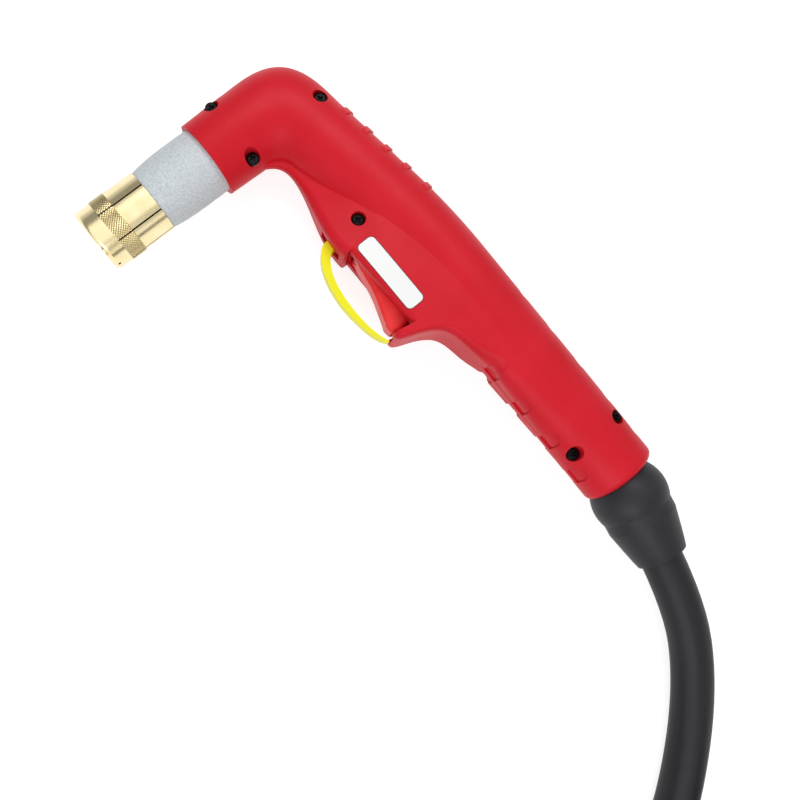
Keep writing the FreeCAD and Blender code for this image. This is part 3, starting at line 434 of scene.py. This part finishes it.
# stainless steel, ground: bright grey
steel = {
    "colour": "#C6C8CA", "shade": "#BABCBE", "roughness": 0.25,
    "cloudSize": 4.0, "ringSize": 0.2, "ringDepth": 0.0006, "axis": "Z",
}
# vinyl film, screen printed with a thin outline: flat white with a soft shine
labelFilm = {
    "colour": "#FFFFFD", "line": "#5A4A4C", "roughness": 0.35, "ior": 1.50, "specular": 0.3,
    "margin": -0.1, "lineWidth": 0.35, "corner": 2.4,
}
# braided sleeve pulled tight over the lead: dull black, with soft folds along it
sheath = {
    "colour": "#1F1E23", "shade": "#19181C", "roughness": 0.5, "ior": 1.5, "specular": 0.28,
    "foldsAlong": 90.0, "foldsAround": 9.0, "foldDepth": 0.5,
    "grainSize": 0.5, "grainDepth": 0.02,
}


# label: the distance from a rectangle set in by the corner's radius tells how far out a
# point is, and the outline is where that is within half a line of the line's middle
def labelMaterial(name, settings):
    material, tree = startMaterial(name)
    low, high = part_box("label_plate")
    corner = settings["corner"] * mm
    halfLine = settings["lineWidth"] / 2 * mm
    lineMiddle = corner - settings["margin"] * mm - halfLine
    setIn = ((high.x - low.x) / 2 - corner, (high.y - low.y) / 2 - corner, 0.0)
    off = addNode(tree, "ShaderNodeTexCoord", {}).outputs["Object"]
    for operation, others in (
        ("SUBTRACT", {1: (low + high) / 2}),
        ("MULTIPLY", {1: (1, 1, 0)}),
        ("ABSOLUTE", {}),
        ("SUBTRACT", {1: setIn}),
        ("MAXIMUM", {1: (0, 0, 0)}),
    ):
        off = addNode(
            tree, "ShaderNodeVectorMath", {0: off, **others}, operation=operation
        ).outputs["Vector"]
    away = addNode(tree, "ShaderNodeVectorMath", {0: off}, operation="LENGTH").outputs["Value"]
    line = addNode(
        tree, "ShaderNodeMath", {0: away, 1: lineMiddle, 2: halfLine}, operation="COMPARE"
    ).outputs[0]
    tone = addNode(
        tree,
        "ShaderNodeMix",
        {"Factor": line, "A": colour(settings["colour"]), "B": colour(settings["line"])},
        data_type="RGBA",
    ).outputs["Result"]
    shader = addNode(
        tree,
        "ShaderNodeBsdfPrincipled",
        {
            "Base Color": tone,
            "Roughness": settings["roughness"],
            "IOR": settings["ior"],
            "Specular IOR Level": settings["specular"],
        },
    ).outputs["BSDF"]
    addNode(tree, "ShaderNodeOutputMaterial", {"Surface": shader})
    return material


# sheath: noise over the curve's own coordinates makes the folds, fine noise the braid
def sheathMaterial(name, settings):
    material, tree = startMaterial(name)
    places = addNode(tree, "ShaderNodeTexCoord", {}).outputs
    stretch = addNode(
        tree,
        "ShaderNodeMapping",
        {
            "Vector": places["UV"],
            "Scale": (settings["foldsAlong"], settings["foldsAround"], 1.0),
        },
    ).outputs["Vector"]
    folds = addNode(
        tree, "ShaderNodeTexNoise", {"Vector": stretch, "Scale": 1.0, "Detail": 1.0}
    ).outputs["Fac"]
    fine = addNode(
        tree,
        "ShaderNodeTexNoise",
        {"Vector": places["Object"], "Scale": 1 / (settings["grainSize"] * mm), **fineNoise},
    ).outputs["Fac"]
    share = addNode(tree, "ShaderNodeMapRange", {"Value": folds, **noiseEnds}).outputs["Result"]
    tone = addNode(
        tree,
        "ShaderNodeMix",
        {"Factor": share, "A": colour(settings["colour"]), "B": colour(settings["shade"])},
        data_type="RGBA",
    ).outputs["Result"]
    # the second relief lies on the first
    normal = {}
    for height, depth in ((folds, settings["foldDepth"]), (fine, settings["grainDepth"])):
        relief = addNode(
            tree,
            "ShaderNodeBump",
            {"Height": height, "Strength": 1.0, "Distance": depth * mm, **normal},
        )
        normal = {"Normal": relief.outputs["Normal"]}
    shader = addNode(
        tree,
        "ShaderNodeBsdfPrincipled",
        {
            "Base Color": tone,
            "Roughness": settings["roughness"],
            "IOR": settings["ior"],
            "Specular IOR Level": settings["specular"],
            **normal,
        },
    ).outputs["BSDF"]
    addNode(tree, "ShaderNodeOutputMaterial", {"Surface": shader})
    return material


paint(plastic("red nylon", redShell), "upper_shell", "lower_shell")
paint(plastic("trigger acetal", redTrigger), "trigger", "switch_plunger")
paint(plastic("yellow acetal", yellowLever), "safety_lever")
paint(labelMaterial("label film", labelFilm), "label_plate")
paint(plastic("moulded insulator", insulator), "head_sleeve")
rubberParts = ("cable_boot", "sleeve_o_ring", "lead_hose", "connector_sleeve")
paint(plastic("black rubber", blackRubber), *rubberParts)
paint(plastic("black nylon", blackNylon), "switch_body", "connector_body", "coupling_nut")
paint(plastic("swirl ring", swirlPart), "swirl_ring")
paint(plastic("wire sheath", wireSheath), "pilot_wire", "switch_leads")
paint(plastic("black oxide", blackOxide), "shell_screws")
paint(metal("cap brass", capBrass), "retaining_cap")
brassParts = ("cathode_body", "cap_ring", "pilot_terminal", "lead_nut", "contact_pins")
paint(metal("brass", brass), *brassParts)
paint(metal("copper", copper), "nozzle", "electrode", "gas_tube")
steelParts = (
    "trigger_pin", "trigger_spring", "safety_pin", "electrode_insert", "swivel_core",
    "swivel_flange",
)
paint(metal("steel", steel), *steelParts)
lead.data.materials.append(sheathMaterial("lead sheath", sheath))
print("materials given")

# knurl: the cap's band is covered by a diamond pattern, drawn a little coarser than the real
# 1 mm so that it shows; lengths in mm, the first slit's place in degrees
knurl = {
    "fromSleeve": 14.9,
    "width": 7.4,
    "radius": 14.505,
    "depth": 0.2,
    "pitch": 1.3,
    "fadeOut": 0.3,
    "samples": 8,
    "slits": 7,
    "slitFirst": -14.0,
    "slitWidth": 0.7,
}


# triangle wave between 0 and 1 with a period of 1
def wave(values):
    return np.abs(2 * (values - np.floor(values + 0.5)))


# a cylinder whose radius grows by the lower of two triangle waves, which run round it
# slanting to the left and to the right, so that small pyramids stand between the grooves
def makeKnurl(settings):
    low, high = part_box("retaining_cap")
    axisX = (low.x + high.x) / 2
    around = int(round(2 * math.pi * settings["radius"] / settings["pitch"]))
    turns = around * settings["samples"]
    rows = int(settings["width"] / settings["pitch"] * settings["samples"])
    angle = np.arange(turns) * 2 * math.pi / turns
    along = np.linspace(0, settings["width"], rows + 1)
    a, s = np.meshgrid(angle, along)
    first = wave(a * around / (2 * math.pi) + s / settings["pitch"])
    second = wave(a * around / (2 * math.pi) - s / settings["pitch"])
    ends = np.clip(np.minimum(s, settings["width"] - s) / settings["fadeOut"], 0, 1)
    height = np.minimum(first, second)
    radius = settings["radius"] + settings["depth"] * height * ends
    points = np.stack(
        [
            axisX + radius * np.sin(a) * mm,
            high.y - (settings["fromSleeve"] + s) * mm,
            rear.z + radius * np.cos(a) * mm,
        ],
        axis=-1,
    ).reshape(-1, 3)
    i, j = np.meshgrid(np.arange(turns), np.arange(rows))
    right = (i + 1) % turns
    here, onward = j * turns, (j + 1) * turns
    faces = np.stack([here + i, onward + i, onward + right, here + right], axis=-1)
    # the cap's slits run through the band, so the faces over them are left out
    middle = np.degrees((np.arange(turns) + 0.5) * 2 * math.pi / turns) - settings["slitFirst"]
    step = 360 / settings["slits"]
    away = np.abs(middle - step * np.round(middle / step))
    besideSlits = away > math.degrees(settings["slitWidth"] / 2 / settings["radius"])
    faces = faces[:, besideSlits].reshape(-1, 4)
    mesh = bpy.data.meshes.new("knurl")
    mesh.from_pydata(points.tolist(), [], faces.tolist())
    # the height is kept on the points for the painted shade in the knurl's grooves
    heights = mesh.attributes.new("height", "FLOAT", "POINT")
    heights.data.foreach_set("value", height.ravel().astype(np.float32))
    obj = bpy.data.objects.new("knurl", mesh)
    scene.collection.objects.link(obj)
    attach(obj, "cap")
    mesh.materials.append(metal("knurled brass", knurledBrass))


makeKnurl(knurl)
print("knurl made")

# floor: white to the camera and in reflections, with a faint shadow of the torch left in it,
# and a soft grey to everything else; its size in metres, its drop below the torch in mm
studio = {
    "white": "#FFFFFF", "glow": 0.78, "shadowed": "#B8B8B8", "bounce": "#D8D8D8",
    "size": 6.0, "drop": 0.2,
}


def makeFloor(settings):
    half = settings["size"] / 2
    corners = [(-half, -half, 0), (half, -half, 0), (half, half, 0), (-half, half, 0)]
    mesh = bpy.data.meshes.new("floor")
    mesh.from_pydata(corners, [], [(0, 1, 2, 3)])
    obj = bpy.data.objects.new("floor", mesh)
    obj.location.z = -settings["drop"] * mm
    scene.collection.objects.link(obj)
    material, tree = startMaterial("floor")
    path = addNode(tree, "ShaderNodeLightPath", {}).outputs
    seen = path["Is Camera Ray"]
    for ray in ("Is Glossy Ray", "Is Transmission Ray"):
        seen = addNode(
            tree, "ShaderNodeMath", {0: seen, 1: path[ray]}, operation="ADD"
        ).outputs[0]
    glow = addNode(
        tree,
        "ShaderNodeEmission",
        {"Color": colour(settings["white"]), "Strength": settings["glow"]},
    ).outputs["Emission"]
    shadowed, bounce = (
        addNode(tree, "ShaderNodeBsdfDiffuse", {"Color": colour(settings[tint])}).outputs["BSDF"]
        for tint in ("shadowed", "bounce")
    )
    white = addNode(tree, "ShaderNodeAddShader", {0: glow, 1: shadowed}).outputs["Shader"]
    mixed = addNode(tree, "ShaderNodeMixShader", {"Fac": seen, 1: bounce, 2: white})
    addNode(tree, "ShaderNodeOutputMaterial", {"Surface": mixed.outputs["Shader"]})
    mesh.materials.append(material)


makeFloor(studio)
print("floor laid")

# lights: place and aim in mm from the handle's rear rim, size in mm, power in watts
lights = [
    {
        "name": "key", "power": 2.0, "size": (500, 300),
        "place": (-420, 260, 620), "aim": (-130, 0, 0),
    },
    {
        "name": "fill", "power": 1.7, "size": (600, 400),
        "place": (260, -420, 480), "aim": (-100, 0, 0),
    },
]


def makeLight(settings):
    data = bpy.data.lights.new(settings["name"], "AREA")
    data.shape = "RECTANGLE"
    data.size, data.size_y = (v * mm for v in settings["size"])
    data.energy = settings["power"]
    obj = bpy.data.objects.new(settings["name"], data)
    place = fromRear(*settings["place"])
    way = fromRear(*settings["aim"]) - place
    obj.location = place
    obj.rotation_euler = way.to_track_quat("-Z", "Y").to_euler()
    scene.collection.objects.link(obj)


for light in lights:
    makeLight(light)

# surroundings: an even glow on everything, white to the camera, and for reflections a tent
# seen round the cap's axis: a white top, white sides and floor, with darker gaps between
# them, each mark given by its degrees from the top and its brightness
tent = {
    "backdrop": "#FFFFFF",
    "glow": "#F2F3F5",
    "glowPower": 0.5,
    "reflections": [
        (-180, 0.75), (-80, 0.7), (-70, 0.3), (-42, 0.32), (-36, 1.2), (30, 1.25),
        (38, 0.6), (64, 0.5), (74, 1.2), (104, 1.2), (116, 0.7), (180, 0.75),
    ],
}


def makeWorld(settings):
    world = bpy.data.worlds.new("studio")
    scene.world = world
    world.use_nodes = True
    tree = world.node_tree
    tree.nodes.clear()
    way = addNode(tree, "ShaderNodeTexCoord", {}).outputs["Generated"]
    split = addNode(tree, "ShaderNodeSeparateXYZ", {"Vector": way}).outputs
    angle = addNode(
        tree, "ShaderNodeMath", {0: split["X"], 1: split["Z"]}, operation="ARCTAN2"
    ).outputs[0]
    share = addNode(
        tree, "ShaderNodeMapRange", {"Value": angle, "From Min": -math.pi, "From Max": math.pi}
    ).outputs["Result"]
    ramp = addNode(tree, "ShaderNodeValToRGB", {"Fac": share})
    # the ramp starts with a mark at each end
    marks = ramp.color_ramp.elements
    degrees, brightness = zip(*settings["reflections"])
    for turn in degrees[1:-1]:
        marks.new((turn + 180) / 360)
    for mark, bright in zip(marks, brightness):
        mark.color = (bright, bright, bright, 1)
    shader = addNode(
        tree,
        "ShaderNodeBackground",
        {"Color": colour(settings["glow"]), "Strength": settings["glowPower"]},
    ).outputs[0]
    path = addNode(tree, "ShaderNodeLightPath", {}).outputs
    for ray, seen in (
        ("Is Glossy Ray", ramp.outputs["Color"]),
        ("Is Camera Ray", colour(settings["backdrop"])),
    ):
        other = addNode(tree, "ShaderNodeBackground", {"Color": seen}).outputs[0]
        shader = addNode(
            tree, "ShaderNodeMixShader", {"Fac": path[ray], 1: shader, 2: other}
        ).outputs[0]
    addNode(tree, "ShaderNodeOutputWorld", {"Surface": shader})


makeWorld(tent)
print("studio lit")
